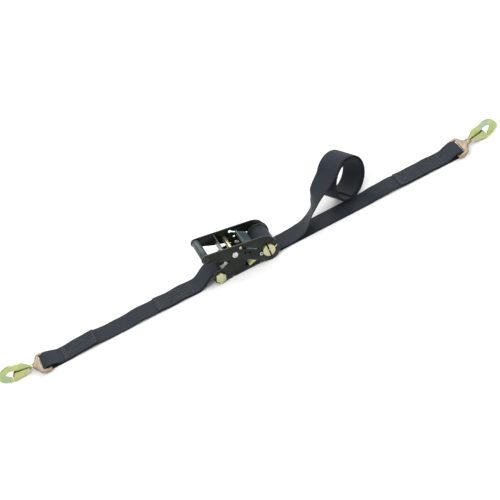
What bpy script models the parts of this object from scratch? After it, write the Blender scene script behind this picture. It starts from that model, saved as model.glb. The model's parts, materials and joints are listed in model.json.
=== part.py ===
"""Ratchet tie-down strap: a ratchet buckle with a short fixed strap, a long strap on
its winding spool with the free tail rolled up, and a twisted snap hook at each end.
X runs along the strap, Y across it, Z up. The origin is the centre of the underside
of the ratchet frame's web."""

import math

import bmesh
import bpy
from mathutils import Matrix, Vector

MM = 0.001
GAP = 0.3

# Webbing
WEB_W = 50.0
WEB_T = 2.0
SEWN_T = 4.2
LONG_START, LONG_STEP, LONG_BAR = 46.0, 342.0, 475.0
SHORT_STEP_A, SHORT_STEP_B, SHORT_BAR = -190.0, -320.0, -425.0
BAR_Z = 5.9
LOOP_IN, LOOP_OUT = 3.9, 5.85
ROLL_C = Vector((249.5, 36.4, 50.9))
ROLL_AXIS = Vector((-0.478, 0.873, 0.10)).normalized()
ROLL_R, ROLL_IN = 46.0, 38.0

# Ratchet
BOLT = (-54.0, 14.0)
SPOOL = (53.0, 24.5)
FRAME_IN, FRAME_OUT = 27.0, 29.5
WHEEL_IN, WHEEL_OUT = 30.0, 33.0
HANDLE_IN, HANDLE_OUT = 33.6, 36.0
LOBE_R = 23.0
TEETH, CREST_R, ROOT_R = 12, 22.4, 18.6
MANDREL_R, MANDREL_SLOT, MANDREL_END = 12.5, 3.2, 41.0
DRUM_R = 21.5
HANDLE_TILT = 10.3
GRIP = (125.0, 22.0)
CROSS_PIN = (67.0, 12.0)
PAWL_ANGLE = math.degrees(math.atan2(14.0, 33.0))
DRIVE_TIP_R, DRIVE_BACK_R, DRIVE_T = 23.4, 46.0, 2.4
LOCK_ANGLE, LOCK_TIP_R, LOCK_LEN, LOCK_T = 14.0, 19.6, 29.0, 4.0

# Snap hooks
HOOK_T, BUCKLE_T = 5.0, 3.6
HOOK_TILT = 6.9
GATE_PIVOT = (41.0, -1.3)
GATE_IN, GATE_OUT = 4.2, 5.5

for old in list(bpy.data.objects):
    bpy.data.objects.remove(old, do_unlink=True)

parts = bpy.data.collections.new("ratchet_tie_down_strap")
tools = bpy.data.collections.new("cutters")
bpy.context.scene.collection.children.link(parts)
bpy.context.scene.collection.children.link(tools)


def material(name, rgb, rough, metal):
    m = bpy.data.materials.new(name)
    m.use_nodes = True
    p = m.node_tree.nodes["Principled BSDF"]
    p.inputs["Base Color"].default_value = (*rgb, 1)
    p.inputs["Roughness"].default_value = rough
    p.inputs["Metallic"].default_value = metal
    return m


LOOKS = {
    "black_paint": ((0.022, 0.028, 0.027), 0.38, 0.0),
    "yellow_zinc": ((0.62, 0.58, 0.30), 0.30, 1.0),
    "hook_zinc": ((0.66, 0.62, 0.28), 0.32, 1.0),
    "dark_zinc": ((0.20, 0.12, 0.08), 0.45, 1.0),
    "bright_steel": ((0.72, 0.72, 0.70), 0.28, 1.0),
    "webbing": ((0.035, 0.045, 0.060), 0.85, 0.0),
}


def add(name, mesh, look, loc=(0, 0, 0), parent=None, rot=(0, 0, 0)):
    obj = bpy.data.objects.new(name, mesh)
    mesh.materials.clear()
    mesh.materials.append(material(name, *LOOKS[look]))
    parts.objects.link(obj)
    obj.location = Vector(loc) * MM
    obj.rotation_euler = rot
    obj.parent = parent
    return obj


def helper(name, mesh, loc=(0, 0, 0), parent=None):
    obj = bpy.data.objects.new(name, mesh)
    tools.objects.link(obj)
    obj.location = Vector(loc) * MM
    obj.parent = parent
    obj.hide_render = True
    obj.display_type = "WIRE"
    return obj


def pivot(name, loc, rot=(0, 0, 0), parent=None):
    obj = bpy.data.objects.new(name, None)
    parts.objects.link(obj)
    obj.location = Vector(loc) * MM
    obj.rotation_euler = rot
    obj.parent = parent
    return obj


def boolean(obj, tool, operation):
    m = obj.modifiers.new(tool.name, "BOOLEAN")
    m.operation, m.object, m.solver = operation, tool, "EXACT"


def closed_mesh(mesh):
    bm = bmesh.new()
    bm.from_mesh(mesh)
    bmesh.ops.remove_doubles(bm, verts=bm.verts, dist=1e-6)
    bmesh.ops.recalc_face_normals(bm, faces=bm.faces)
    bm.to_mesh(mesh)
    bm.free()
    return mesh


def solid_from_curve(curve):
    """The welded mesh of a curve datablock, in its own space."""
    obj = bpy.data.objects.new("curve", curve)
    bpy.context.scene.collection.objects.link(obj)
    bpy.context.view_layer.update()
    graph = bpy.context.evaluated_depsgraph_get()
    mesh = bpy.data.meshes.new_from_object(obj.evaluated_get(graph))
    bpy.data.objects.remove(obj, do_unlink=True)
    return closed_mesh(mesh)


def flat(loops, low, high):
    """An outline in X and Y (the first loop, with the others as holes) between two Z levels."""
    curve = bpy.data.curves.new("outline", "CURVE")
    curve.dimensions = "2D"
    curve.fill_mode = "BOTH"
    curve.extrude = (high - low) / 2 * MM
    for loop in loops:
        spline = curve.splines.new("POLY")
        spline.points.add(len(loop) - 1)
        for point, (x, y) in zip(spline.points, loop):
            point.co = (x * MM, y * MM, 0, 1)
        spline.use_cyclic_u = True
    mesh = solid_from_curve(curve)
    mesh.transform(Matrix.Translation((0, 0, (low + high) / 2 * MM)))
    return mesh


def upright(loops, low, high):
    """The same with the outline in X and Z, between two Y levels."""
    mesh = flat(loops, -high, -low)
    mesh.transform(Matrix.Rotation(math.pi / 2, 4, "X"))
    return mesh


def arc(cx, cy, r, a0, a1, n):
    """n+1 points from angle a0 to a1, in degrees."""
    return [
        (
            cx + r * math.cos(math.radians(a0 + (a1 - a0) * i / n)),
            cy + r * math.sin(math.radians(a0 + (a1 - a0) * i / n)),
        )
        for i in range(n + 1)
    ]


def circle(cx, cy, r, n=20):
    return arc(cx, cy, r, 0, 360, n)[:-1]


def smooth(points, n=4):
    """A Catmull-Rom line through the points."""
    out = []
    for i in range(len(points) - 1):
        p = [points[max(0, i - 1)], points[i], points[i + 1], points[min(len(points) - 1, i + 2)]]
        p = [Vector(q) for q in p]
        for k in range(n):
            t = k / n
            out.append(
                0.5 * (2 * p[1] + (p[2] - p[0]) * t + (2 * p[0] - 5 * p[1] + 4 * p[2] - p[3]) * t * t
                       + (3 * p[1] - p[0] - 3 * p[2] + p[3]) * t ** 3)
            )
    out.append(Vector(points[-1]))
    return [tuple(q) for q in out]


def turned(profile, steps=24):
    """A Screw of a profile of (radius, height) pairs, its axis then laid along Y."""
    mesh = bpy.data.meshes.new("profile")
    mesh.from_pydata([(r * MM, 0, h * MM) for r, h in profile], [(i, i + 1) for i in range(len(profile) - 1)], [])
    obj = bpy.data.objects.new("turned", mesh)
    bpy.context.scene.collection.objects.link(obj)
    s = obj.modifiers.new("turn", "SCREW")
    s.axis, s.angle, s.steps, s.render_steps = "Z", 2 * math.pi, steps, steps
    s.use_merge_vertices, s.merge_threshold = True, 1e-5
    bpy.context.view_layer.update()
    out = bpy.data.meshes.new_from_object(obj.evaluated_get(bpy.context.evaluated_depsgraph_get()))
    bpy.data.objects.remove(obj, do_unlink=True)
    closed_mesh(out)
    out.transform(Matrix.Rotation(math.pi / 2, 4, "X"))
    return out


def rod(r, low, high, sides=20):
    bm = bmesh.new()
    bmesh.ops.create_cone(
        bm, cap_ends=True, segments=sides, radius1=r * MM, radius2=r * MM, depth=(high - low) * MM,
        matrix=Matrix.Translation((0, (low + high) / 2 * MM, 0)) @ Matrix.Rotation(math.pi / 2, 4, "X"),
    )
    mesh = bpy.data.meshes.new("rod")
    bm.to_mesh(mesh)
    bm.free()
    return mesh


def box(lo, hi):
    bm = bmesh.new()
    size = [(b - a) * MM for a, b in zip(lo, hi)]
    mid = [(a + b) / 2 * MM for a, b in zip(lo, hi)]
    bmesh.ops.create_cube(bm, size=1, matrix=Matrix.Translation(mid) @ Matrix.Diagonal((*size, 1)))
    mesh = bpy.data.meshes.new("box")
    bm.to_mesh(mesh)
    bm.free()
    return mesh


def wire(points, r, rings=2):
    curve = bpy.data.curves.new("wire", "CURVE")
    curve.dimensions = "3D"
    curve.bevel_depth = r * MM
    curve.bevel_resolution = rings
    curve.use_fill_caps = True
    spline = curve.splines.new("POLY")
    spline.points.add(len(points) - 1)
    for point, co in zip(spline.points, points):
        point.co = (co[0] * MM, co[1] * MM, co[2] * MM, 1)
    return solid_from_curve(curve)


def coil(r, pitch, turns, per_turn=8):
    return [
        (r * math.cos(2 * math.pi * i / per_turn), r * math.sin(2 * math.pi * i / per_turn), pitch * i / per_turn)
        for i in range(int(turns * per_turn) + 1)
    ]


# ---------------------------------------------------------------- base frame
bx, bz = BOLT
sx, sz = SPOOL
plate = (
    arc(bx, bz, 14, 270, 90, 12)
    + smooth([(bx + 11, 28), (bx + 19, 31), (bx + 28, 35)], 3)
    + [(sx - 21.5, 35.0)]
    + arc(sx, sz, LOBE_R, 152, -50, 16)
    + [(sx + 13, 1.5), (sx + 10, 0)]
    + arc(bx + 83, 0, 2.6, 0, 180, 6)
    + arc(bx + 25, 0, 2.6, 0, 180, 6)
)
slot = [(0.6, 6.1), (36.2, 15.0), (36.4, 19.6), (31, 24), (8, 23), (0.6, 15)]
holes = [circle(bx, bz, 5.4), circle(sx, sz, 13.0, 24), slot]
base = add("base_frame", upright([plate] + holes, -FRAME_OUT, -FRAME_IN), "black_paint")
boolean(base, helper("frame_far_plate", upright([plate] + holes, FRAME_IN, FRAME_OUT)), "UNION")
web = box((bx + 28.5, -FRAME_OUT + 1, 0), (bx + 79.5, FRAME_OUT - 1, 2.2))
boolean(base, helper("frame_web", web), "UNION")

hexagon = [(11 * math.cos(math.radians(60 * i + 12)), 11 * math.sin(math.radians(60 * i + 12))) for i in range(6)]
bolt = add("fixed_bolt", rod(5.0, -31.0, 41.0), "yellow_zinc", (bx, 0, bz))
boolean(bolt, helper("bolt_head", upright([hexagon], -FRAME_OUT - GAP - 6.4, -FRAME_OUT - GAP), (bx, 0, bz)), "UNION")
add("bolt_nut", upright([hexagon, circle(0, 0, 5.3)], FRAME_OUT + GAP, FRAME_OUT + 8), "yellow_zinc", (bx, 0, bz))
add("bolt_sleeve", upright([circle(0, 0, 8), circle(0, 0, 5.4)], -26.6, 26.6), "yellow_zinc", (bx, 0, bz))

# ---------------------------------------------------------------- lock pawl, in the frame
d = Vector((math.cos(math.radians(LOCK_ANGLE)), math.sin(math.radians(LOCK_ANGLE))))
nrm = Vector((-d.y, d.x))
tip = Vector(SPOOL) + LOCK_TIP_R * Vector((math.cos(math.radians(202)), math.sin(math.radians(202))))
corners = [tip - nrm * LOCK_T / 2, tip + nrm * LOCK_T / 2, tip - d * LOCK_LEN + nrm * LOCK_T / 2, tip - d * LOCK_LEN - nrm * LOCK_T / 2]
lock = add("lock_pawl", upright([[tuple(c) for c in corners]], -WHEEL_OUT, WHEEL_OUT), "yellow_zinc")
boolean(lock, helper("lock_pawl_relief", rod(22.4, -25.8, 25.8, 40), (sx, 0, sz)), "DIFFERENCE")
spring = wire(coil(2.6, 2.4, 5), 0.45, 1)
back = tip - d * (LOCK_LEN + GAP + 0.6)
spring.transform(Matrix.Rotation(math.radians(-90 - LOCK_ANGLE), 4, "Y"))
add("lock_pawl_spring", spring, "bright_steel", (back.x, 0, back.y))
seat = back - d * 14.0
seat_pts = [(seat.x - 2.2, 2.0), (seat.x - 0.2, 2.0), (seat.x - 0.2, seat.y + 5), (seat.x - 2.2, seat.y + 5)]
boolean(base, helper("frame_spring_seat", upright([seat_pts], -8, 8)), "UNION")

# ---------------------------------------------------------------- winding spool
start = 193.3
teeth = []
for i in range(TEETH):
    a = start + 360 / TEETH * i
    for r, da in ((ROOT_R, 0.0), (ROOT_R, 8.0), (ROOT_R, 16.0), (CREST_R, 17.2), (CREST_R, 20.8)):
        teeth.append((r * math.cos(math.radians(a + da)), r * math.sin(math.radians(a + da))))
for side, lo, hi in (("near", -WHEEL_OUT, -WHEEL_IN), ("far", WHEEL_IN, WHEEL_OUT)):
    add("ratchet_wheel_" + side, upright([teeth, circle(0, 0, MANDREL_R + GAP, 24)], lo, hi), "dark_zinc", (sx, 0, sz))
for side, turn in (("left", 180), ("right", 0)):
    edge = math.degrees(math.asin(MANDREL_SLOT / 2 / MANDREL_R))
    half = arc(0, 0, MANDREL_R, edge - 90, 90 - edge, 14)
    half = [(x * math.cos(math.radians(turn)), y) for x, y in half]
    obj = add("mandrel_half_" + side, upright([half], -MANDREL_END, MANDREL_END), "yellow_zinc", (sx, 0, sz))
    for y in (-38.6, 38.6):
        drill = rod(1.7, -16, 16, 12)
        drill.transform(Matrix.Translation((0, y * MM, 0)) @ Matrix.Rotation(math.pi / 2, 4, "Z"))
        boolean(obj, helper("drill_%s_%d" % (side, y), drill, (sx, 0, sz)), "DIFFERENCE")
for side, y in (("near", -38.6), ("far", 38.6)):
    eye = [(-16.4 + 2.6 * math.cos(math.radians(a)), y, 2.6 * math.sin(math.radians(a))) for a in range(330, 29, -30)]
    path = eye[:-1] + [(-13.5, y, 0.6), (-12.6, y, 0), (13.0, y, 0), (16.5, y, 1.6), (18.5, y, 4.0)]
    add("cotter_pin_" + side, wire(path, 1.2), "bright_steel", (sx, 0, sz))
add("wound_webbing", upright([circle(0, 0, DRUM_R, 40), circle(0, 0, MANDREL_R + GAP, 24)], -WEB_W / 2, WEB_W / 2), "webbing", (sx, 0, sz))

# ---------------------------------------------------------------- handle
lever = pivot("handle_axis", (sx, 0, sz), (0, math.radians(HANDLE_TILT), 0))


def h(points):
    """Handle points, measured towards the grip and up, in the handle's own X and Z."""
    return [(-u, v) for u, v in points]


gu, gv = GRIP
nose = arc(0, 0, 23.9, 100, 190, 8) + [(-24.4 * math.cos(0.35), -24.4 * math.sin(0.35))] + arc(0, 0, 24.4, 205, 285, 8)
side_plate = (
    arc(gu, gv, 9.5, 90, -90, 10)[::1]
    + smooth([(gu - 4, gv - 9.8), (gu - 18, 8.5), (gu - 36, 4.0), (72, 1.5), (52, -3), (32, -13), (14, -22.0)], 3)
    + arc(0, 0, 24.4, 285, 205, 8)
    + arc(0, 0, 23.9, 195, 130, 8)
    + smooth([(-11, 24.5), (-2, 29.5), (8, 31.3)], 3)
)
ca, sa = math.cos(math.radians(PAWL_ANGLE)), math.sin(math.radians(PAWL_ANGLE))


def radial(r, off):
    return (r * ca - off * sa, r * sa + off * ca)


half_w = DRIVE_T / 2 + 0.45
a0 = PAWL_ANGLE
inner = [radial(22.2 + 2.2 * math.cos(math.radians(t)), 2.2 * math.sin(math.radians(t))) for t in range(45, 316, 30)]
outer = [radial(57.8 + 3.5 * math.cos(math.radians(t)), 3.5 * math.sin(math.radians(t))) for t in range(-150, 151, 30)]
drive_slot = [radial(24.2, half_w)] + inner[1:-1] + [radial(24.2, -half_w)] + [radial(54.5, -half_w)] + outer + [radial(54.5, half_w)]
handle_holes = [
    circle(0, 0, 14.8, 24), circle(*GRIP, 4.1, 16), circle(*CROSS_PIN, 3.8, 16),
    circle(46.5, 9.2, 2.4, 12), circle(37.5, 6.6, 2.2, 12), drive_slot,
]
loops = [h(side_plate)] + [h(c) for c in handle_holes]
handle = add("handle_frame", upright(loops, -HANDLE_OUT, -HANDLE_IN), "black_paint", parent=lever)
boolean(handle, helper("handle_far_plate", upright(loops, HANDLE_IN, HANDLE_OUT), parent=lever), "UNION")
cross = upright([h([(85, 6), (87, 6), (88.5, 30.2), (86.5, 30.2)])], -HANDLE_IN - 1, HANDLE_IN + 1)
boolean(handle, helper("handle_cross_web", cross, parent=lever), "UNION")
add("grip_tube", upright([circle(0, 0, 8.2, 28), circle(0, 0, 4.2, 16)], -HANDLE_IN + GAP, HANDLE_IN - GAP), "black_paint", (-gu, 0, gv), lever)
end = HANDLE_OUT + GAP
add("grip_rivet", turned([(0, end + 1.8), (3.2, end + 1.7), (5.2, end + 0.9), (5.6, end), (3.8, end), (3.8, -end), (5.6, -end), (5.2, -end - 0.9), (3.2, -end - 1.7), (0, -end - 1.8)], 20), "black_paint", (-gu, 0, gv), lever)
mid = HANDLE_IN - GAP
add("handle_cross_pin", turned([(0, end + 1.6), (4.4, end + 1.6), (6.0, end + 0.8), (6.2, end), (3.5, end), (3.5, mid), (4.6, mid), (4.6, -mid), (3.5, -mid), (3.5, -end), (6.2, -end), (6.0, -end - 0.8), (4.4, -end - 1.6), (0, -end - 1.6)], 20), "bright_steel", (-CROSS_PIN[0], 0, CROSS_PIN[1]), lever)

t2 = DRIVE_T / 2
strip = [radial(DRIVE_TIP_R, -t2), radial(DRIVE_BACK_R, -t2), radial(DRIVE_BACK_R, t2), radial(DRIVE_TIP_R, t2)]
pawl = add("drive_pawl", upright([h(strip)], -HANDLE_OUT, HANDLE_OUT), "black_paint", parent=lever)
lip = [radial(DRIVE_BACK_R - 2, -t2), radial(DRIVE_BACK_R, -t2)] + smooth([radial(DRIVE_BACK_R + 2.2, 0.2), radial(DRIVE_BACK_R + 4.2, 3), radial(DRIVE_BACK_R + 5.0, 7), radial(DRIVE_BACK_R + 4.8, 9)], 2)
lip += [radial(DRIVE_BACK_R + 2.5, 9), radial(DRIVE_BACK_R + 2.6, 7), radial(DRIVE_BACK_R + 1.8, 4), radial(DRIVE_BACK_R, t2), radial(DRIVE_BACK_R - 2, t2)]
boolean(pawl, helper("pawl_lip", upright([h(lip)], -24, 24), parent=lever), "UNION")
spring = wire(coil(2.2, 1.7, 5), 0.4, 1)
spring.transform(Matrix.Rotation(math.radians(-90 + PAWL_ANGLE), 4, "Y"))
p = radial(DRIVE_BACK_R + 3.4, -5.0)
add("drive_pawl_spring", spring, "bright_steel", (-p[0], 0, p[1]), lever)


# ---------------------------------------------------------------- webbing
def teardrop(cx, cz, r, px, pz, n=18):
    """A circle with straight tangents that meet at a point."""
    to = Vector((px - cx, pz - cz))
    base_angle = math.degrees(math.atan2(to.y, to.x))
    open_angle = math.degrees(math.acos(r / to.length))
    return arc(cx, cz, r, base_angle + open_angle, base_angle + 360 - open_angle, n) + [(px, pz)]


def ease(t):
    t = max(0.0, min(1.0, t))
    return t * t * (3 - 2 * t)


def eyed(name, loops, end_x, inward):
    """A strap's side outline with a sewn eye round a bar at end_x."""
    obj = add(name, upright(loops, -WEB_W / 2, WEB_W / 2), "webbing")
    big = teardrop(end_x, BAR_Z, LOOP_OUT, end_x + inward * 26, SEWN_T / 2)
    small = teardrop(end_x, BAR_Z, LOOP_IN, end_x + inward * 15, SEWN_T / 2 + 0.6)
    boolean(obj, helper(name + "_eye", upright([big], -WEB_W / 2 + 0.02, WEB_W / 2 - 0.02)), "UNION")
    boolean(obj, helper(name + "_eye_hole", upright([small], -WEB_W, WEB_W)), "DIFFERENCE")
    return obj


long_outline = [(LONG_START, 0), (LONG_BAR - 12, 0), (LONG_BAR - 12, SEWN_T), (LONG_STEP, SEWN_T), (LONG_STEP - 2, WEB_T), (LONG_START, WEB_T)]
eyed("long_strap", [long_outline], LONG_BAR, -1)


def short_low(x):
    return 20.2 * ease((x + 104) / 44.0)


xs = [-54, -58, -62, -66, -70, -74, -78, -82, -86, -90, -94, -98, -104, -120, -160, SHORT_STEP_A]
low_line = [(x, short_low(x)) for x in xs if -120 < x < -64]
top_line = [(x, short_low(x) + SEWN_T + 1.1 * math.sin(math.pi * ease((x + 104) / 44.0))) for x in xs]
far_low = [(SHORT_BAR + 12, 0)]
far_top = [(SHORT_STEP_A - 2, WEB_T), (SHORT_STEP_B, WEB_T), (SHORT_STEP_B - 2, SEWN_T), (SHORT_BAR + 12, SEWN_T)]
round_bolt = arc(bx, bz, 10.4, 80, -205, 24)
short_outline = low_line + far_low + far_top[::-1] + top_line[::-1] + round_bolt
eyed("short_strap", [short_outline, circle(bx, bz, 8.4, 24)], SHORT_BAR, 1)

# The free tail: flat on the long strap, then up and over the roll that it ends in.
e1 = ROLL_AXIS.cross(Vector((0, 0, 1))).normalized()
e2 = e1.cross(ROLL_AXIS)


def on_roll(angle, r):
    return ROLL_C + r * (math.cos(math.radians(angle)) * e1 + math.sin(math.radians(angle)) * e2)


over = ROLL_R + 1.1 + WEB_T / 2
route = [
    ((63, 0, 3.3), (0, 1, 0)), ((80, 0, 3.3), (0, 1, 0)), ((98, 0, 3.5), (0.03, 1, 0)), ((118, 0, 5.0), (0.10, 1, 0)),
    ((139, 0, 11), (0.25, 0.96, -0.02)), ((159, -1, 28), (0.45, 0.88, 0.06)), ((171, -2, 46), (0.30, 0.94, 0.12)), ((187, -1, 66), (0.02, 0.98, 0.12)),
]
for a, r, shift, turn in ((136, over + 4.0, -5, 0.12), (121, over + 1.6, -3, 0.04), (106, over + 0.3, -1, 0.0), (92, over, 0, 0.0)):
    route.append((tuple(on_roll(a, r) + ROLL_AXIS * shift), tuple(ROLL_AXIS.lerp(Vector((0, 1, 0)), turn))))
line = [Vector(q) for q in smooth([q for q, _ in route], 2)]
widths = [Vector(w) for w in smooth([w for _, w in route], 2)]
shell = bmesh.new()
rows = []
for i, q in enumerate(line):
    along = (line[min(i + 1, len(line) - 1)] - line[max(i - 1, 0)]).normalized()
    across = widths[i]
    across = (across - across.dot(along) * along).normalized() * WEB_W / 2
    rows.append((shell.verts.new((q - across) * MM), shell.verts.new((q + across) * MM)))
for (a, b), (c, e) in zip(rows, rows[1:]):
    shell.faces.new((a, b, e, c))
mesh = bpy.data.meshes.new("strap_tail")
shell.to_mesh(mesh)
shell.free()
tail = add("strap_tail", mesh, "webbing")
thick = tail.modifiers.new("thickness", "SOLIDIFY")
thick.thickness, thick.offset = WEB_T * MM, 0
ring = upright([circle(0, 0, ROLL_R, 48), circle(0, 0, ROLL_IN, 36)], -WEB_W / 2, WEB_W / 2)
ring.transform(Matrix(((e1.x, ROLL_AXIS.x, e2.x), (e1.y, ROLL_AXIS.y, e2.y), (e1.z, ROLL_AXIS.z, e2.z))).to_4x4())
add("tail_roll", ring, "webbing", tuple(ROLL_C))


# ---------------------------------------------------------------- snap hooks
def snap_hook(side, bar_x, turn):
    root = pivot(side + "_hook_axis", (bar_x, 0, BAR_Z), (0, -math.radians(HOOK_TILT), turn))
    shoulder = [(-3, -29), (-1.5, -31.5), (1, -32.5), (13, -32.5), (17, -31), (20, -27), (25, -12), (29, -7.5), (31, -6.5)]
    outline = shoulder + [(x, -y) for x, y in shoulder[::-1]]
    opening = [(3, -25), (4.2, -26.3), (14, -26.3), (15, -25), (15, 25), (14, 26.3), (4.2, 26.3), (3, 25)]
    obj = add(side + "_hook_body", flat([outline, opening], -BUCKLE_T / 2, BUCKLE_T / 2), "hook_zinc", parent=root)
    bm = bmesh.new()
    rings = []
    for i in range(9):
        t = i / 8
        x, turn_a = 26.7 + 11.1 * t, math.pi / 2 * ease(t)
        w, th = 6.3 + (5.0 - 6.3) * t, BUCKLE_T / 2 - 0.06 + (HOOK_T - BUCKLE_T) / 2 * t
        rings.append([
            bm.verts.new(Vector((x, y * math.cos(turn_a) - z * math.sin(turn_a), y * math.sin(turn_a) + z * math.cos(turn_a))) * MM)
            for y, z in ((-w, -th), (w, -th), (w, th), (-w, th))
        ])
    for a, b in zip(rings, rings[1:]):
        for k in range(4):
            bm.faces.new((a[k], a[(k + 1) % 4], b[(k + 1) % 4], b[k]))
    bm.faces.new(rings[0][::-1])
    bm.faces.new(rings[-1])
    bmesh.ops.recalc_face_normals(bm, faces=bm.faces)
    mesh = bpy.data.meshes.new("neck")
    bm.to_mesh(mesh)
    bm.free()
    boolean(obj, helper(side + "_neck", mesh, parent=root), "UNION")
    px, pz = GATE_PIVOT
    claw = (
        smooth([(36, 5.2), (41, 9.5), (52.6, 18.2), (66, 21.4), (78, 21.0), (90, 16.8), (97.5, 8.5), (100, -1.5), (96, -8.0), (88.6, -11.6), (80, -13.6), (74.2, -14.2)], 2)
        + smooth([(75.2, -6.2), (80, -3.2), (84.6, 1.0)], 2)
        + smooth([(84.6, 5.6), (80.5, 8.8), (73.3, 9.4), (65, 7.4), (56, 3.4), (48.5, 1.2)], 2)
        + arc(px, pz, 5.2, 20, -110, 6)
        + [(36, -5.2)]
    )
    boolean(obj, helper(side + "_claw", upright([claw, circle(px, pz, 2.3, 14)], -HOOK_T / 2, HOOK_T / 2), parent=root), "UNION")
    cheek = arc(0, 0, 4.6, 100, 260, 8) + [(9, -7.2), (31.6, -12.6), (31.8, -7.2), (25.5, 5.6)]
    eye = circle(0, 0, 2.3, 14)
    gate = add(side + "_gate", upright([cheek, eye], -GATE_OUT, -GATE_IN), "hook_zinc", (px, 0, pz), root)
    boolean(gate, helper(side + "_gate_cheek", upright([cheek, eye], GATE_IN, GATE_OUT), (px, 0, pz), root), "UNION")
    face = [(9, -7.2), (31.6, -12.6), (31.6, -11.2), (9.3, -5.9)]
    boolean(gate, helper(side + "_gate_face", upright([face], -GATE_OUT + 0.4, GATE_OUT - 0.4), (px, 0, pz), root), "UNION")
    e = GATE_OUT + GAP
    add(side + "_gate_rivet", turned([(0, e + 1.3), (2.4, e + 1.2), (3.5, e + 0.5), (3.6, e), (1.95, e), (1.95, -e), (3.6, -e), (3.5, -e - 0.5), (2.4, -e - 1.2), (0, -e - 1.3)], 16), "bright_steel", (px, 0, pz), root)
    turns = wire(coil(3.0, 0.65, 1.4, 10), 0.25, 1)
    turns.transform(Matrix.Translation((0, 3.85 * MM, 0)) @ Matrix.Rotation(math.pi / 2, 4, "X"))
    add(side + "_gate_spring", turns, "bright_steel", (px, 0, pz), root)


snap_hook("right", LONG_BAR, 0.0)
snap_hook("left", SHORT_BAR, math.pi)

for obj in parts.objects:
    if obj.type == "MESH":
        obj.data.shade_smooth()
        obj.data.set_sharp_from_angle(angle=math.radians(35))
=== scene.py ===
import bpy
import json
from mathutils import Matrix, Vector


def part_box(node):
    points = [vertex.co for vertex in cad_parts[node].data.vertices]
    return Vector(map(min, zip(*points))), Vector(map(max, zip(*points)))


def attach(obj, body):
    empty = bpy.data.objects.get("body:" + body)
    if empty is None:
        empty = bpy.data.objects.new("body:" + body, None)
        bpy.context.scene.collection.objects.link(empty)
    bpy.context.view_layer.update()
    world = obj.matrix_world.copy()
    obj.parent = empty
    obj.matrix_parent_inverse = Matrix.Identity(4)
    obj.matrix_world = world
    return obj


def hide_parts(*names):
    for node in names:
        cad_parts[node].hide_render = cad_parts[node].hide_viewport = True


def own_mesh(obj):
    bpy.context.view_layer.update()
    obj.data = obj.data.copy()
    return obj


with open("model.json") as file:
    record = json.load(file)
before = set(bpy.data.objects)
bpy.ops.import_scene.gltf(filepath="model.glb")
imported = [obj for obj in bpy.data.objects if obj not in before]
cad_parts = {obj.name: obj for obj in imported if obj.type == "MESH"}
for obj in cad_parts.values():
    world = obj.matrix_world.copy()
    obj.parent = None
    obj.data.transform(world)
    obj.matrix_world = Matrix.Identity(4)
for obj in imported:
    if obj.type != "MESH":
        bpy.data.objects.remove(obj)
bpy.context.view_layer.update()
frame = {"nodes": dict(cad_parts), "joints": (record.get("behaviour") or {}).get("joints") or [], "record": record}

import json
import math

import bmesh
import bpy
import numpy as np
from mathutils import Matrix, Vector

MM = 0.001
JOINT = {j["name"]: j for j in frame["joints"]}
MOUNT = {m["name"]: m for m in frame["record"]["mounts"]}
NODES = frame["nodes"]
SPOOL = Vector(JOINT["handle_swing"]["pos_m"]) / MM
BOLT = Vector(JOINT["short_strap_pivot"]["pos_m"]) / MM
BAR_L = Vector(JOINT["left_hook_swing"]["pos_m"]) / MM
BAR_R = Vector(JOINT["right_hook_swing"]["pos_m"]) / MM
WEB_W = 50.0


# ------------------------------------------------------------------ materials
def start_material(name):
    m = bpy.data.materials.new(name)
    m.use_nodes = True
    nt = m.node_tree
    return m, nt, nt.nodes["Principled BSDF"]


def node(nt, kind, **values):
    n = nt.nodes.new(kind)
    for key, value in values.items():
        if key in n.inputs:
            n.inputs[key].default_value = value
        else:
            setattr(n, key, value)
    return n


def coords(nt, output="Object", stretch=(1, 1, 1)):
    tc = nt.nodes.new("ShaderNodeTexCoord")
    mp = nt.nodes.new("ShaderNodeMapping")
    mp.inputs["Scale"].default_value = stretch
    nt.links.new(tc.outputs[output], mp.inputs["Vector"])
    return mp.outputs["Vector"]


def noise(nt, vector, scale, detail=4.0, rough=0.55, distortion=0.0):
    n = node(nt, "ShaderNodeTexNoise")
    n.inputs["Scale"].default_value = scale
    n.inputs["Detail"].default_value = detail
    n.inputs["Roughness"].default_value = rough
    n.inputs["Distortion"].default_value = distortion
    nt.links.new(vector, n.inputs["Vector"])
    return n.outputs["Fac"]


def ramp(nt, fac, stops):
    r = nt.nodes.new("ShaderNodeValToRGB")
    r.color_ramp.interpolation = "EASE"
    e = r.color_ramp.elements
    while len(e) < len(stops):
        e.new(0.5)
    for item, (at, colour) in zip(e, stops):
        item.position = at
        item.color = (*colour, 1) if len(colour) == 3 else colour
    nt.links.new(fac, r.inputs["Fac"])
    return r.outputs["Color"]


def mix(nt, fac, a, b, blend="MIX"):
    n = nt.nodes.new("ShaderNodeMix")
    n.data_type = "RGBA"
    n.blend_type = blend
    for socket, value in ((n.inputs[0], fac), (n.inputs[6], a), (n.inputs[7], b)):
        if isinstance(value, (int, float)):
            socket.default_value = value
        elif isinstance(value, tuple):
            socket.default_value = (*value, 1)
        else:
            nt.links.new(value, socket)
    return n.outputs[2]


def maths(nt, op, a, b=None):
    n = nt.nodes.new("ShaderNodeMath")
    n.operation = op
    for socket, value in ((n.inputs[0], a), (n.inputs[1], b)):
        if value is None:
            continue
        if isinstance(value, (int, float)):
            socket.default_value = value
        else:
            nt.links.new(value, socket)
    return n.outputs[0]


def spread(nt, fac, low, high, to_low=0.0, to_high=1.0):
    n = nt.nodes.new("ShaderNodeMapRange")
    n.inputs["From Min"].default_value = low
    n.inputs["From Max"].default_value = high
    n.inputs["To Min"].default_value = to_low
    n.inputs["To Max"].default_value = to_high
    nt.links.new(fac, n.inputs["Value"])
    return n.outputs[0]


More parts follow.
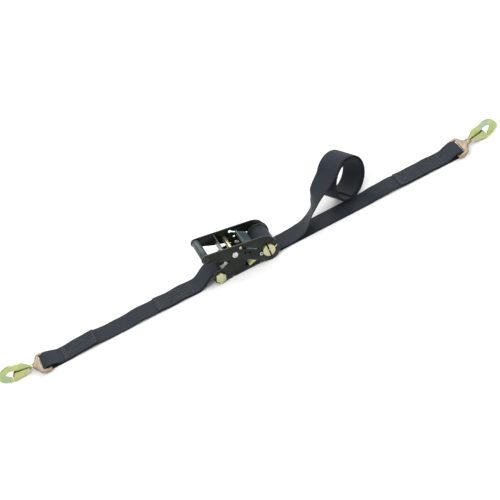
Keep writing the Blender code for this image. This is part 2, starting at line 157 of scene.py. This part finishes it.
def bump(nt, bsdf, height, distance, strength=1.0):
    b = nt.nodes.new("ShaderNodeBump")
    b.inputs["Strength"].default_value = strength
    b.inputs["Distance"].default_value = distance
    nt.links.new(height, b.inputs["Height"])
    nt.links.new(b.outputs["Normal"], bsdf.inputs["Normal"])


def worn_edges(nt, low=0.53, high=0.60):
    g = nt.nodes.new("ShaderNodeNewGeometry")
    return spread(nt, g.outputs["Pointiness"], low, high)


def painted(name, dark=(0.0040, 0.0060, 0.0045), light=(0.0125, 0.0170, 0.0125)):
    m, nt, p = start_material(name)
    v = coords(nt)
    cloud = noise(nt, v, 45, 5)
    colour = ramp(nt, cloud, [(0.32, dark), (0.72, light)])
    scratch = noise(nt, coords(nt, stretch=(1, 1, 9)), 240, 6, 0.7)
    rub = maths(nt, "MULTIPLY", worn_edges(nt), spread(nt, noise(nt, v, 130, 5), 0.35, 0.62))
    colour = mix(nt, spread(nt, scratch, 0.70, 0.80, 0, 0.25), colour, (0.06, 0.075, 0.07))
    colour = mix(nt, rub, colour, (0.15, 0.18, 0.175))
    nt.links.new(colour, p.inputs["Base Color"])
    nt.links.new(spread(nt, noise(nt, v, 90, 4), 0.3, 0.7, 0.24, 0.42), p.inputs["Roughness"])
    p.inputs["Coat Weight"].default_value = 0.05
    p.inputs["Coat Roughness"].default_value = 0.16
    p.inputs["Specular IOR Level"].default_value = 0.20
    bump(nt, p, noise(nt, v, 900, 3), 0.00005, 0.6)
    return m


def plated(name, stops, rough=(0.2, 0.36), patch=70, dirt=(0.09, 0.07, 0.035), detail=3, swirl=1.6):
    """Chromated zinc: bands of thin-film colour over bright metal, with specks of dirt."""
    m, nt, p = start_material(name)
    v = coords(nt)
    film = noise(nt, v, patch, detail, 0.5, swirl)
    colour = ramp(nt, spread(nt, film, 0.30, 0.70), stops)
    speck = noise(nt, v, 1100, 3, 0.6)
    colour = mix(nt, spread(nt, speck, 0.64, 0.76, 0, 0.22), colour, dirt)
    cloud = noise(nt, v, 160, 5, 0.6)
    colour = mix(nt, spread(nt, cloud, 0.55, 0.75, 0, 0.22), colour, (0.66, 0.66, 0.50), "MIX")
    nt.links.new(colour, p.inputs["Base Color"])
    p.inputs["Metallic"].default_value = 0.85
    nt.links.new(spread(nt, cloud, 0.3, 0.7, *rough), p.inputs["Roughness"])
    bump(nt, p, noise(nt, v, 700, 5, 0.65), 0.00006, 0.7)
    return m


def webbing(name, dark=(0.0042, 0.0062, 0.0090), light=(0.0160, 0.0258, 0.0392)):
    """Ribbed polyester webbing. U runs across the strap and V along it, both in metres."""
    m, nt, p = start_material(name)
    uv = nt.nodes.new("ShaderNodeTexCoord")
    sep = nt.nodes.new("ShaderNodeSeparateXYZ")
    nt.links.new(uv.outputs["UV"], sep.inputs[0])
    u, v = sep.outputs[0], sep.outputs[1]
    rib = maths(nt, "SINE", maths(nt, "MULTIPLY", v, 2 * math.pi / 0.0025))
    warp = maths(nt, "SINE", maths(nt, "MULTIPLY", u, 2 * math.pi / 0.0011))
    weft = maths(nt, "SINE", maths(nt, "ADD", maths(nt, "MULTIPLY", v, 2 * math.pi / 0.00125), maths(nt, "MULTIPLY", warp, 1.2)))
    h = maths(nt, "ADD", maths(nt, "MULTIPLY", rib, 0.5), maths(nt, "ADD", maths(nt, "MULTIPLY", warp, 0.22), maths(nt, "MULTIPLY", weft, 0.2)))
    o = coords(nt)
    # painted shade and light: the colour darkens in the rib and weave valleys and lightens on their tops, following
    # the same waves as the bump
    base = ramp(nt, spread(nt, h, -0.85, 0.85), [(0.0, dark), (0.5, tuple((a + b) / 2.2 for a, b in zip(dark, light))), (1.0, light)])
    lint = noise(nt, o, 25, 5, 0.6)
    base = mix(nt, spread(nt, lint, 0.45, 0.75, 0, 0.30), base, tuple(1.2 * c for c in light))
    # the woven edges are denser, and so a little darker
    edge = spread(nt, maths(nt, "ABSOLUTE", maths(nt, "SUBTRACT", u, WEB_W * MM / 2)), 0.0218, 0.0236, 0, 0.55)
    base = mix(nt, edge, base, tuple(0.6 * c for c in dark))
    nt.links.new(base, p.inputs["Base Color"])
    nt.links.new(spread(nt, noise(nt, o, 600, 3), 0.3, 0.7, 0.55, 0.8), p.inputs["Roughness"])
    p.inputs["Sheen Weight"].default_value = 0.07
    p.inputs["Sheen Roughness"].default_value = 0.5
    p.inputs["Specular IOR Level"].default_value = 0.18
    bump(nt, p, h, 0.00016, 0.9)
    return m


YELLOW = [(0.0, (0.34, 0.40, 0.19)), (0.3, (0.46, 0.48, 0.25)), (0.55, (0.56, 0.54, 0.32)), (0.8, (0.50, 0.41, 0.31)), (1.0, (0.40, 0.46, 0.26))]
HOOK = [(0.0, (0.36, 0.46, 0.27)), (0.22, (0.40, 0.49, 0.20)), (0.45, (0.50, 0.53, 0.22)), (0.62, (0.50, 0.46, 0.29)), (0.8, (0.38, 0.49, 0.30)), (1.0, (0.33, 0.44, 0.36))]
TAN = [(0.0, (0.27, 0.23, 0.14)), (0.35, (0.32, 0.245, 0.16)), (0.65, (0.28, 0.21, 0.16)), (1.0, (0.27, 0.25, 0.15))]
RUST = [(0.0, (0.10, 0.055, 0.03)), (0.5, (0.20, 0.10, 0.06)), (1.0, (0.30, 0.20, 0.12))]
STEEL = [(0.0, (0.40, 0.41, 0.40)), (0.6, (0.55, 0.55, 0.53)), (1.0, (0.60, 0.58, 0.51))]
M = {
    "paint": painted("black_paint_finish"),
    "paint_tube": painted("grip_paint_finish", (0.012, 0.018, 0.020), (0.030, 0.042, 0.046)),
    "paint_pawl": painted("pawl_paint_finish", (0.040, 0.058, 0.068), (0.09, 0.12, 0.135)),
    "yellow": plated("yellow_zinc_finish", YELLOW, patch=90),
    "hook": plated("hook_zinc_finish", HOOK, (0.28, 0.44), 30, detail=1, swirl=0.5),
    "tan": plated("buckle_zinc_finish", TAN, (0.38, 0.52), 48),
    "rust": plated("wheel_finish", RUST, (0.32, 0.5), 150, (0.02, 0.015, 0.01)),
    "steel": plated("bright_steel_finish", STEEL, (0.16, 0.3), 120, (0.2, 0.19, 0.17)),
    "web": webbing("webbing_finish"),
    "thread": None,
}
m, nt, p = start_material("thread_finish")
nt.links.new(ramp(nt, noise(nt, coords(nt), 900, 3), [(0.3, (0.016, 0.020, 0.025)), (0.75, (0.060, 0.072, 0.085))]), p.inputs["Base Color"])
p.inputs["Roughness"].default_value = 0.6
p.inputs["Sheen Weight"].default_value = 0.3
bump(nt, p, noise(nt, coords(nt, stretch=(1, 3, 1)), 2500, 2), 0.0001, 0.7)
M["thread"] = m


# ------------------------------------------------------------------ mesh helpers
def piece(name, mesh, mat, body, replaced=(), angle=38):
    obj = bpy.data.objects.new(name, mesh)
    bpy.context.scene.collection.objects.link(obj)
    obj.data.materials.clear()
    for one in mat if isinstance(mat, (list, tuple)) else [mat]:
        obj.data.materials.append(one)
    obj.data.shade_smooth()
    obj.data.set_sharp_from_angle(angle=math.radians(angle))
    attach(obj, body)
    if replaced:
        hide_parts(*replaced)
    return obj


def evaluated(obj, keep=False):
    bpy.context.view_layer.update()
    mesh = bpy.data.meshes.new_from_object(obj.evaluated_get(bpy.context.evaluated_depsgraph_get()))
    if not keep:
        bpy.data.objects.remove(obj, do_unlink=True)
    return mesh


def temp(mesh, matrix=None):
    obj = bpy.data.objects.new("temp", mesh)
    bpy.context.scene.collection.objects.link(obj)
    if matrix is not None:
        mesh.transform(matrix)
    return obj


def rounded(mesh, width, segments=2, angle=28):
    """The mesh with its flat faces whole again and its edges rounded."""
    bm = bmesh.new()
    bm.from_mesh(mesh)
    bmesh.ops.remove_doubles(bm, verts=bm.verts, dist=2e-6)
    bmesh.ops.dissolve_limit(bm, angle_limit=math.radians(1.5), verts=bm.verts, edges=bm.edges)
    bm.to_mesh(mesh)
    bm.free()
    obj = temp(mesh)
    b = obj.modifiers.new("bevel", "BEVEL")
    b.width, b.segments, b.limit_method, b.angle_limit = width * MM, segments, "ANGLE", math.radians(angle)
    b.use_clamp_overlap, b.miter_outer, b.harden_normals = True, "MITER_ARC", False
    out = evaluated(obj)
    bm = bmesh.new()
    bm.from_mesh(out)
    bmesh.ops.triangulate(bm, faces=[f for f in bm.faces if len(f.verts) > 4])
    bm.to_mesh(out)
    bm.free()
    return out


def refine(name, cad, body, mat, width=0.4, segments=2):
    return piece(name, rounded(NODES[cad].data.copy(), width, segments), mat, body, (cad,))


def joined(base, others, operation="UNION"):
    obj = temp(base)
    tools = []
    for mesh in others:
        t = temp(mesh)
        tools.append(t)
        b = obj.modifiers.new("b", "BOOLEAN")
        b.operation, b.object, b.solver = operation, t, "EXACT"
    out = evaluated(obj)
    for t in tools:
        bpy.data.objects.remove(t, do_unlink=True)
    return out


def flat(loops, low, high):
    curve = bpy.data.curves.new("outline", "CURVE")
    curve.dimensions, curve.fill_mode, curve.extrude = "2D", "BOTH", (high - low) / 2 * MM
    for loop in loops:
        s = curve.splines.new("POLY")
        s.points.add(len(loop) - 1)
        for point, (x, y) in zip(s.points, loop):
            point.co = (x * MM, y * MM, 0, 1)
        s.use_cyclic_u = True
    obj = bpy.data.objects.new("curve", curve)
    bpy.context.scene.collection.objects.link(obj)
    mesh = evaluated(obj)
    bm = bmesh.new()
    bm.from_mesh(mesh)
    bmesh.ops.remove_doubles(bm, verts=bm.verts, dist=1e-6)
    bmesh.ops.recalc_face_normals(bm, faces=bm.faces)
    bm.to_mesh(mesh)
    bm.free()
    mesh.transform(Matrix.Translation((0, 0, (low + high) / 2 * MM)))
    return mesh


def upright(loops, low, high):
    mesh = flat(loops, -high, -low)
    mesh.transform(Matrix.Rotation(math.pi / 2, 4, "X"))
    return mesh


def arc(cx, cy, r, a0, a1, n):
    return [(cx + r * math.cos(math.radians(a0 + (a1 - a0) * i / n)), cy + r * math.sin(math.radians(a0 + (a1 - a0) * i / n))) for i in range(n + 1)]


def circle(cx, cy, r, n=32):
    return arc(cx, cy, r, 0, 360, n)[:-1]


def smooth(points, n=6):
    out = []
    for i in range(len(points) - 1):
        q = [Vector(points[k]) for k in (max(0, i - 1), i, i + 1, min(len(points) - 1, i + 2))]
        for k in range(n):
            t = k / n
            out.append(0.5 * (2 * q[1] + (q[2] - q[0]) * t + (2 * q[0] - 5 * q[1] + 4 * q[2] - q[3]) * t * t + (3 * q[1] - q[0] - 3 * q[2] + q[3]) * t ** 3))
    out.append(Vector(points[-1]))
    return out


def flatten(points):
    return [(q[0], q[1]) for q in points]


def ease(t):
    t = max(0.0, min(1.0, t))
    return t * t * (3 - 2 * t)


def resample(points, step):
    """Points a step apart along a line, in mm, and the line's length."""
    q = np.array([tuple(v) for v in points], float)
    d = np.concatenate([[0], np.cumsum(np.linalg.norm(np.diff(q, axis=0), axis=1))])
    n = max(2, int(round(d[-1] / step)) + 1)
    at = np.linspace(0, d[-1], n)
    return [Vector([float(np.interp(a, d, q[:, k])) for k in range(3)]) for a in at], float(d[-1])


COLUMNS = [(-1.0, 0.30), (-0.992, 0.66), (-0.975, 0.88), (-0.94, 1.0), (-0.7, 0.97), (-0.35, 0.97), (0.0, 0.97), (0.35, 0.97), (0.7, 0.97), (0.94, 1.0), (0.975, 0.88), (0.992, 0.66), (1.0, 0.30)]


def ribbon(name, points, across_of, body, replaced, thick=1.9, step=1.25, pitch=2.5, widths=None):
    """A woven strap along a line. across_of(i, point, share) is the direction across it, or widths gives it at each point."""
    line, length = resample(points, step)
    if widths:
        d = np.concatenate([[0], np.cumsum(np.linalg.norm(np.diff(np.array([tuple(q) for q in points]), axis=0), axis=1))])
        w = np.array([tuple(q) for q in widths])
        at = np.linspace(0, d[-1], len(line))
        table = [Vector([float(np.interp(a, d, w[:, k])) for k in range(3)]) for a in at]
    verts, uvs, faces = [], [], []
    n = len(line)
    cols = len(COLUMNS)
    previous = None
    for i, q in enumerate(line):
        along = (line[min(i + 1, n - 1)] - line[max(i - 1, 0)]).normalized()
        across = table[i] if widths else across_of(i, q, i / (n - 1))
        across = (across - across.dot(along) * along).normalized()
        up = along.cross(across)
        v = i * length / (n - 1)
        rib = 1 + 0.10 * math.cos(2 * math.pi * v / pitch)
        for sign in (1, -1):
            for s, h in COLUMNS:
                r = rib if abs(s) < 0.93 else 1.0
                verts.append(tuple((q + across * s * WEB_W / 2 + up * sign * h * r * thick / 2) * MM))
                uvs.append(((s + 1) * WEB_W / 2 * MM, v * MM))
    ring = 2 * cols
    for i in range(n - 1):
        a, b = i * ring, (i + 1) * ring
        for k in range(cols - 1):
            faces.append((a + k, a + k + 1, b + k + 1, b + k))
            faces.append((a + cols + k + 1, a + cols + k, b + cols + k, b + cols + k + 1))
        faces.append((a + cols, a, b, b + cols))
        faces.append((a + cols - 1, a + ring - 1, b + ring - 1, b + cols - 1))
    for a, flip in ((0, True), ((n - 1) * ring, False)):
        for k in range(cols - 1):
            f = (a + k, a + k + 1, a + cols + k + 1, a + cols + k)
            faces.append(f if flip else f[::-1])
    mesh = bpy.data.meshes.new(name)
    mesh.from_pydata(verts, [], faces)
    layer = mesh.uv_layers.new(name="UVMap")
    index = np.empty(len(mesh.loops), np.int32)
    mesh.loops.foreach_get("vertex_index", index)
    layer.data.foreach_set("uv", np.array(uvs, np.float32)[index].ravel())
    bm = bmesh.new()
    bm.from_mesh(mesh)
    bmesh.ops.recalc_face_normals(bm, faces=bm.faces)
    bm.to_mesh(mesh)
    bm.free()
    obj = piece(name, mesh, M["web"], body, replaced, 60)
    return obj, length


Y = Vector((0, 1, 0))


def straight(i, q, share):
    return Y


# ------------------------------------------------------------------ webbing
def swell(x, a, b, phase=0.0):
    """How far the slack strap lifts off the surface, in mm, between two places where it is held."""
    hold = ease((x - a) / 35.0) * ease((b - x) / 35.0)
    return hold * (1.3 * (1 - math.cos(2 * math.pi * (x - a) / 118.0 + phase)) + 0.5 * (1 - math.cos(2 * math.pi * (x - a) / 47.0)))


def short_low(x):
    return 20.2 * ease((x + 104) / 44.0)


UP, LOW, EYE = 3.2, 1.02, 12.0
short = []
step_a, step_b = -190.0, -320.0
x = step_a - 1
while x < BOLT.x - 1:
    top = short_low(x) + UP + 1.1 * math.sin(math.pi * ease((x + 104) / 44.0)) + swell(x, BAR_L.x + 30, -108)
    short.append((x, 0, top))
    x += 2
short += [(BOLT.x + 9.4 * math.cos(math.radians(a)), 0, BOLT.z + 9.4 * math.sin(math.radians(a))) for a in range(88, -201, -8)]
x = -67.0
while x > BAR_L.x + 14:
    short.append((x, 0, max(LOW, short_low(x) + LOW) + swell(x, BAR_L.x + 30, -108)))
    x -= 2
loop = [(BAR_L.x - EYE * math.cos(math.radians(a)), 0, BAR_L.z + 4.85 * math.sin(math.radians(a))) for a in range(-88, 99, 8)]
short += loop
short += [tuple(v) for v in smooth([(BAR_L.x + 5, 0, BAR_L.z + 4.5), (BAR_L.x + 14, 0, 7.4), (BAR_L.x + 24, 0, 3.7), (BAR_L.x + 32, 0, UP)], 4)]
x = BAR_L.x + 34
while x < step_b:
    short.append((x, 0, UP + swell(x, BAR_L.x + 30, -108)))
    x += 2
short_piece, short_len = ribbon("short_webbing", short, straight, "short_strap", ("short_strap",))

long = []
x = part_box("long_strap")[0].x / MM + 0.5
while x < BAR_R.x - 14:
    long.append((x, 0, LOW + swell(x, 262, BAR_R.x - 40)))
    x += 2
long += [(BAR_R.x + EYE * math.cos(math.radians(a)), 0, BAR_R.z + 4.85 * math.sin(math.radians(a))) for a in range(-88, 99, 8)]
long += [tuple(v) for v in smooth([(BAR_R.x - 5, 0, BAR_R.z + 4.5), (BAR_R.x - 14, 0, 7.4), (BAR_R.x - 24, 0, 3.7), (BAR_R.x - 32, 0, UP)], 4)]
x = BAR_R.x - 34
while x > 343:
    long.append((x, 0, UP + swell(x, 262, BAR_R.x - 40)))
    x -= 2
long_piece, long_len = ribbon("long_webbing", long, straight, "frame", ("long_strap",))

# The drum: the strap wound on the mandrels.
turns, inner_r, outer_r = 3.75, 13.9, 20.5
wound = []
steps = int(turns * 60)
for i in range(steps + 1):
    a = 2 * math.pi * i / 60 - 0.4
    r = inner_r + (outer_r - inner_r) * i / steps
    wound.append((SPOOL.x + r * math.cos(a), 0, SPOOL.z + r * math.sin(a)))
drum_piece, drum_len = ribbon("wound_strap", wound, straight, "spool", ("wound_webbing",), thick=1.65)

# The free tail and the roll it ends in.
ROLL_AXIS = Vector((-0.478, 0.873, 0.10)).normalized()
low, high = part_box("tail_roll")
ROLL_C = (low + high) / 2 / MM
ROLL_R, ROLL_IN = 46.0, 38.0
e1 = ROLL_AXIS.cross(Vector((0, 0, 1))).normalized()
e2 = e1.cross(ROLL_AXIS)


def on_roll(angle, r):
    return ROLL_C + r * (math.cos(math.radians(angle)) * e1 + math.sin(math.radians(angle)) * e2)


over = ROLL_R + 1.1 + 1.0
route = [
    ((63, 0, 3.3), (0, 1, 0)), ((80, 0, 3.3), (0, 1, 0)), ((98, 0, 3.5), (0.03, 1, 0)), ((118, 0, 5.0), (0.10, 1, 0)),
    ((139, 0, 11), (0.25, 0.96, -0.02)), ((159, -1, 28), (0.45, 0.88, 0.06)), ((171, -2, 46), (0.30, 0.94, 0.12)), ((187, -1, 66), (0.02, 0.98, 0.12)),
]
for a, r, shift, turn in ((136, over + 4.0, -5, 0.12), (121, over + 1.6, -3, 0.04), (106, over + 0.3, -1, 0.0), (92, over, 0, 0.0)):
    route.append((tuple(on_roll(a, r) + ROLL_AXIS * shift), tuple(ROLL_AXIS.lerp(Y, turn))))
FINE = 8
path = smooth([q for q, _ in route], FINE)
spans = smooth([w for _, w in route], FINE)
# The opening handle flattens the tail, so the turn over the top belongs to the roll.
seam = FINE * 9
tail_piece, tail_len = ribbon("tail_webbing", path[:seam + 1], straight, "frame", ("strap_tail",), thick=1.75, widths=spans[:seam + 1])
roll_path, roll_spans = list(path[seam:]), list(spans[seam:])
roll_turns, roll_in = 3.55, ROLL_IN + 1.1
count = int(roll_turns * 72)
for i in range(1, count + 1):
    turn = i / 72
    r = 45.3 - (45.3 - roll_in) * (i / count)
    r += (over - 45.3) * (1 - ease(turn / 0.62))
    slack = max(0.0, turn - (roll_turns - 0.45))
    r -= 7.0 * slack * slack
    roll_path.append(on_roll(92 - 360 * turn, r) + ROLL_AXIS * (0.7 * math.sin(turn * 2.3) * min(1, turn)))
    roll_spans.append(ROLL_AXIS)
roll_piece, roll_len = ribbon("rolled_webbing", roll_path, straight, "frame", ("tail_roll",), thick=1.75, widths=roll_spans)


# Stitching: rows of thread sunk into the sewn ends.
def stitches(name, body, runs, height):
    """runs are (x0, y0, x1, y1) rows in mm; height(x) is the webbing's top there."""
    bm = bmesh.new()
    for x0, y0, x1, y1 in runs:
        length = math.hypot(x1 - x0, y1 - y0)
        n = max(1, int(length / 3.4))
        ux, uy = (x1 - x0) / length, (y1 - y0) / length
        for i in range(n):
            s = (i + 0.5) * length / n
            cx, cy = x0 + ux * s, y0 + uy * s
            ring = []
            for t, w, h in ((-1.35, 0.16, 0.0), (-0.9, 0.40, 0.26), (0, 0.46, 0.42), (0.9, 0.40, 0.26), (1.35, 0.16, 0.0)):
                row = []
                for a in range(6):
                    c, d = math.cos(a * math.pi / 3), math.sin(a * math.pi / 3)
                    px, py = cx + ux * t - uy * w * c, cy + uy * t + ux * w * c
                    row.append(bm.verts.new(Vector((px, py, height(px) + h + 0.30 * d - 0.12)) * MM))
                ring.append(row)
            for p0, p1 in zip(ring, ring[1:]):
                for a in range(6):
                    bm.faces.new((p0[a], p0[(a + 1) % 6], p1[(a + 1) % 6], p1[a]))
            bm.faces.new(ring[0][::-1])
            bm.faces.new(ring[-1])
    bmesh.ops.recalc_face_normals(bm, faces=bm.faces)
    mesh = bpy.data.meshes.new(name)
    bm.to_mesh(mesh)
    bm.free()
    return piece(name, mesh, M["thread"], body, angle=80)


def box_of_rows(x0, x1, rows=6):
    """The long rows, the cross rows at both ends and the diagonals of a sewn box."""
    w = 21.0
    runs = [(x0, -w + 2 * w * k / (rows - 1), x1, -w + 2 * w * k / (rows - 1)) for k in range(rows)]
    runs += [(x0, -w, x0, w), (x1, -w, x1, w), (x0 + 4, -w, x0 + 4, w)]
    mid = (x0 + x1) / 2
    return runs + [(x0, -w, mid, w), (mid, w, x1, -w)]


stitches("stitching_long_end", "frame", box_of_rows(347, 441), lambda x: UP + 0.93 + swell(x, 262, BAR_R.x - 40))
stitches("stitching_short_end", "short_strap", box_of_rows(-391, -325), lambda x: UP + 0.93 + swell(x, BAR_L.x + 30, -108))
stitches("stitching_bolt_end", "short_strap", box_of_rows(-187, -112), lambda x: UP + 0.93 + short_low(x) + swell(x, BAR_L.x + 30, -108))

# ------------------------------------------------------------------ ratchet metal
refine("frame_plate", "base_frame", "frame", M["paint"], 0.45, 2)
refine("lever_frame", "handle_frame", "handle", M["paint"], 0.5, 2)
refine("lever_grip", "grip_tube", "handle", M["paint_tube"], 0.4, 2)
refine("lever_grip_rivet", "grip_rivet", "handle", M["paint"], 0.15, 1)
pin = refine("lever_cross_pin", "handle_cross_pin", "handle", [M["steel"], M["yellow"]], 0.15, 1)
for f in pin.data.polygons:
    f.material_index = int(abs(f.center.y) < 0.0336)
refine("pawl_drive", "drive_pawl", "drive_pawl", M["paint_pawl"], 0.35, 2)
refine("pawl_lock", "lock_pawl", "lock_pawl", M["yellow"], 0.5, 3)
refine("bolt_and_head", "fixed_bolt", "frame", M["yellow"], 0.7, 3)
refine("bolt_far_nut", "bolt_nut", "frame", M["yellow"], 0.6, 3)
refine("bolt_tube", "bolt_sleeve", "frame", M["yellow"], 0.3, 2)
for side in ("near", "far"):
    refine("wheel_" + side, "ratchet_wheel_" + side, "spool", M["rust"], 0.25, 2)
    refine("cotter_" + side, "cotter_pin_" + side, "spool", M["steel"], 0.1, 1)
for side in ("left", "right"):
    refine("mandrel_" + side, "mandrel_half_" + side, "spool", M["yellow"], 1.3, 4)


def tube(points, r, sides=10):
    """A wire's mesh along a line, in metres."""
    bm = bmesh.new()
    rings = []
    n = len(points)
    side = None
    for i, q in enumerate(points):
        along = (points[min(i + 1, n - 1)] - points[max(i - 1, 0)]).normalized()
        if side is None:
            side = along.orthogonal().normalized()
        side = (side - side.dot(along) * along).normalized()
        other = along.cross(side)
        rings.append([bm.verts.new((q + r * (math.cos(2 * math.pi * k / sides) * side + math.sin(2 * math.pi * k / sides) * other)) * MM) for k in range(sides)])
    for a, b in zip(rings, rings[1:]):
        for k in range(sides):
            bm.faces.new((a[k], a[(k + 1) % sides], b[(k + 1) % sides], b[k]))
    bm.faces.new(rings[0][::-1])
    bm.faces.new(rings[-1])
    bmesh.ops.recalc_face_normals(bm, faces=bm.faces)
    mesh = bpy.data.meshes.new("tube")
    bm.to_mesh(mesh)
    bm.free()
    return mesh


def coil_piece(name, cad, body, axis, r, wire, turns, length, joint=None):
    low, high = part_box(cad)
    mid = (low + high) / 2 / MM
    a = Vector(axis).normalized()
    s = Y if abs(a.y) < 0.9 else Vector((1, 0, 0))
    t = a.cross(s).normalized()
    pts = []
    n = int(turns * 24)
    for i in range(n + 1):
        f = i / n
        # closed turns at both ends, open ones between
        g = ease(f) * 0.5 + f * 0.5
        ang = 2 * math.pi * turns * f
        pts.append(mid + a * length * (g - 0.5) + r * (math.cos(ang) * s + math.sin(ang) * t))
    obj = piece(name, tube(pts, wire), M["steel"], body, (cad,), 80)
    if joint:
        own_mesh(obj)
    return obj


coil_piece("pawl_spring_drive", "drive_pawl_spring", "handle", JOINT["drive_pawl_slide"]["axis"], 2.2, 0.4, 6, 7.7, "drive_pawl_slide")
coil_piece("pawl_spring_lock", "lock_pawl_spring", "frame", JOINT["lock_pawl_slide"]["axis"], 2.6, 0.45, 6, 11.4, "lock_pawl_slide")


# ------------------------------------------------------------------ snap hooks
def hook(side, bar, turn, body):
    axis = MOUNT[side + "_hook_seat"]["axis"]
    tilt = math.asin(abs(axis[2]))
    place = Matrix.Translation(bar * MM) @ Matrix.Rotation(turn, 4, "Z") @ Matrix.Rotation(-tilt, 4, "Y")
    shoulder = flatten(smooth([(-3, -28.6), (-2.2, -31.0), (0.8, -32.5), (6, -32.5), (13, -32.4), (17, -31), (20, -27), (22.6, -19), (25, -12.5), (28, -8.4), (31, -6.6)], 5))
    outline = shoulder + [(a, -b) for a, b in shoulder[::-1]]
    opening = arc(5.2, -24.1, 2.2, 180, 270, 5) + arc(12.8, -24.1, 2.2, 270, 360, 5) + arc(12.8, 24.1, 2.2, 0, 90, 5) + arc(5.2, 24.1, 2.2, 90, 180, 5)
    plate = flat([outline, opening], -1.8, 1.8)
    bm = bmesh.new()
    rings = []
    for i in range(25):
        t = i / 24
        x, a = 26.7 + 11.1 * t, math.pi / 2 * ease(t)
        w, th = 6.3 - 1.3 * t, 1.74 + 0.7 * t
        rings.append([bm.verts.new(Vector((x, y * math.cos(a) - z * math.sin(a), y * math.sin(a) + z * math.cos(a))) * MM) for y, z in ((-w, -th), (-w * 0.4, -th), (w * 0.4, -th), (w, -th), (w, th), (w * 0.4, th), (-w * 0.4, th), (-w, th))])
    for r0, r1 in zip(rings, rings[1:]):
        for k in range(8):
            bm.faces.new((r0[k], r0[(k + 1) % 8], r1[(k + 1) % 8], r1[k]))
    bm.faces.new(rings[0][::-1])
    bm.faces.new(rings[-1])
    bmesh.ops.recalc_face_normals(bm, faces=bm.faces)
    neck = bpy.data.meshes.new("neck")
    bm.to_mesh(neck)
    bm.free()
    px, pz = 41.0, -1.3
    claw = flatten(
        smooth([(36, 5.2), (41, 9.5), (52.6, 18.2), (66, 21.4), (78, 21.0), (90, 16.8), (97.5, 8.5), (99.9, -1.5), (96, -8.0), (88.6, -11.6), (80, -13.6), (74.2, -14.2)], 7)
        + smooth([(75.2, -6.2), (80, -3.2), (84.6, 1.0)], 6)
        + smooth([(84.6, 5.6), (80.5, 8.8), (73.3, 9.4), (65, 7.4), (56, 3.4), (48.5, 1.2)], 6)
    ) + arc(px, pz, 5.2, 20, -110, 14) + [(36, -5.2)]
    body_mesh = joined(plate, [neck, upright([claw, circle(px, pz, 2.3, 24)], -2.5, 2.5)])
    body_mesh = rounded(body_mesh, 0.8, 3, 32)
    body_mesh.transform(place)
    obj = piece(side + "_hook", body_mesh, [M["hook"], M["tan"]], body, (side + "_hook_body",), 40)
    back = place.inverted()
    for f in obj.data.polygons:
        f.material_index = 1 if (back @ f.center).x < 0.031 else 0

    cheek = arc(0, 0, 4.6, 100, 260, 16) + [(9, -7.2), (31.0, -12.5), (31.8, -11.8), (31.8, -7.2)] + flatten(smooth([(31.4, -5.0), (27.4, 4.0), (25.0, 5.6), (21.0, 5.3)], 4))
    eye = circle(0, 0, 2.3, 24)
    face = [(9, -7.2), (31.6, -12.6), (31.6, -11.2), (9.3, -5.9)]
    gate = joined(upright([cheek, eye], -5.5, -4.2), [upright([cheek, eye], 4.2, 5.5), upright([face], -5.1, 5.1)])
    gate = rounded(gate, 0.4, 3, 30)
    gate.transform(place @ Matrix.Translation(Vector((px, 0, pz)) * MM))
    piece(side + "_gate_leaf", gate, M["hook"], side + "_gate", (side + "_gate",), 40)
    refine(side + "_rivet", side + "_gate_rivet", body, M["steel"], 0.12, 1)
    coil_piece(side + "_gate_coil", side + "_gate_spring", body, (0, 1, 0), 3.0, 0.25, 1.5, 0.85)


hook("right", BAR_R, 0.0, "right_hook")
hook("left", BAR_L, math.pi, "left_hook")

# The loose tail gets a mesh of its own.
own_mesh(tail_piece)

# ------------------------------------------------------------------ floor, light and camera
floor = bpy.data.meshes.new("floor")
floor.from_pydata([(-6, -6, 0), (6, -6, 0), (6, 6, 0), (-6, 6, 0)], [], [(0, 1, 2, 3)])
floor_obj = bpy.data.objects.new("floor", floor)
bpy.context.scene.collection.objects.link(floor_obj)
floor_obj.location.z = -0.0006
m, nt, p = start_material("floor_finish")
p.inputs["Base Color"].default_value = (0.90, 0.90, 0.90, 1)
p.inputs["Roughness"].default_value = 0.9
p.inputs["Specular IOR Level"].default_value = 0.1
floor.materials.append(m)

world = bpy.data.worlds.new("studio")
world.use_nodes = True
world.node_tree.nodes["Background"].inputs["Color"].default_value = (1, 1, 1, 1)
world.node_tree.nodes["Background"].inputs["Strength"].default_value = 0.8
bpy.context.scene.world = world
bpy.context.scene.view_settings.view_transform = "Standard"


def area(name, loc, target, size, power):
    data = bpy.data.lights.new(name, "AREA")
    data.energy, data.size = power, size
    obj = bpy.data.objects.new(name, data)
    bpy.context.scene.collection.objects.link(obj)
    obj.location = loc
    obj.rotation_euler = (Vector(target) - Vector(loc)).to_track_quat("-Z", "Y").to_euler()


area("key", (-0.9, -1.1, 1.9), (0, 0, 0), 1.6, 26)
area("fill", (1.5, -0.6, 1.3), (0.1, 0, 0), 1.4, 12)
area("back", (0.2, 1.6, 1.2), (0, 0, 0.03), 1.2, 14)

az, el, roll = math.radians(-6), math.radians(34), math.radians(24)
back = Vector((math.sin(az) * math.cos(el), -math.cos(az) * math.cos(el), math.sin(el)))
right = Vector((math.cos(az), math.sin(az), 0))
up = back.cross(right)
target = Vector((0.016, 0, 0)) + 0.00694 * right + 0.01558 * up
cam_data = bpy.data.cameras.new("camera")
cam_data.lens, cam_data.sensor_width = 135, 36
cam_data.clip_end = 50
distance = 500 / 510 * 135 / 36
cam = bpy.data.objects.new("camera", cam_data)
bpy.context.scene.collection.objects.link(cam)
rc = math.cos(roll) * right - math.sin(roll) * up
uc = math.sin(roll) * right + math.cos(roll) * up
basis = Matrix((rc, uc, back)).transposed().to_4x4()
cam.matrix_world = Matrix.Translation(target + back * distance) @ basis
bpy.context.scene.camera = cam
